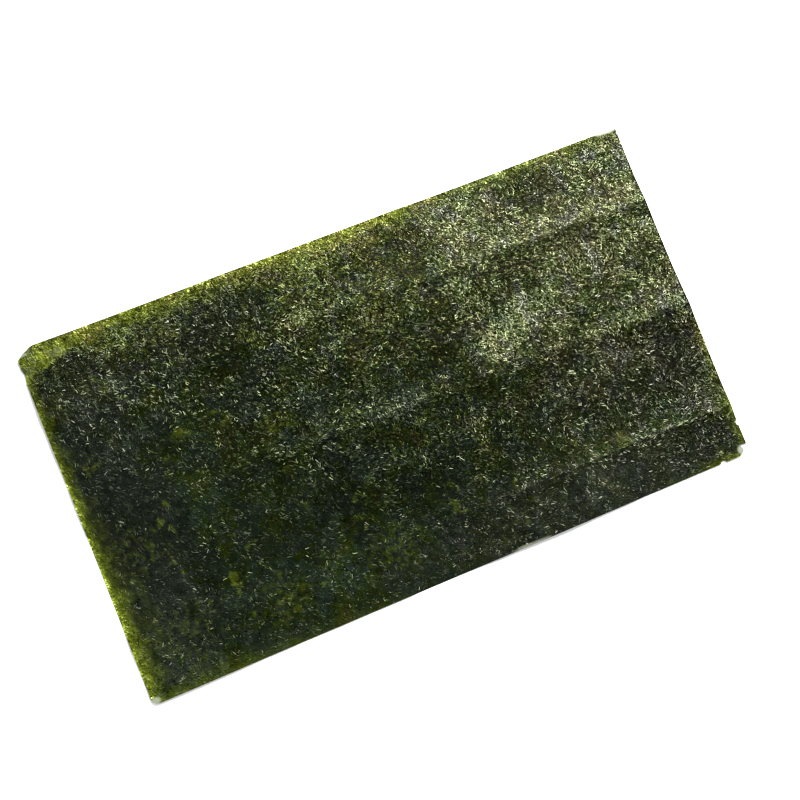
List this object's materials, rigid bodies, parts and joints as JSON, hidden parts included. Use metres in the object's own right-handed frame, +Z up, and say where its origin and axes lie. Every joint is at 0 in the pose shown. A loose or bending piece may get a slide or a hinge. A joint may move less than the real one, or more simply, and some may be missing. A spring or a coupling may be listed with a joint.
{
  "type": "half-cut nori sheet",
  "caption": "Thin oblong sheet of dark green pressed seaweed, half of a square-cut sheet, lying flat with soft fold lines along it.",
  "frame": {"origin": "middle of the sheet's footprint, on the surface that it rests on", "axes": "+X along the long side, from the clipped corner's end to the torn corner's end; +Y across, towards the clipped corner's edge; +Z up, out of the shown face"},
  "size_m": [0.19, 0.1064, 0.0018],
  "materials": {
    "nori": "toasted seaweed, dark green with a soft sheen"
  },
  "bodies": {
    "root": {"nori_sheet": "nori"}
  },
  "joints": []
}
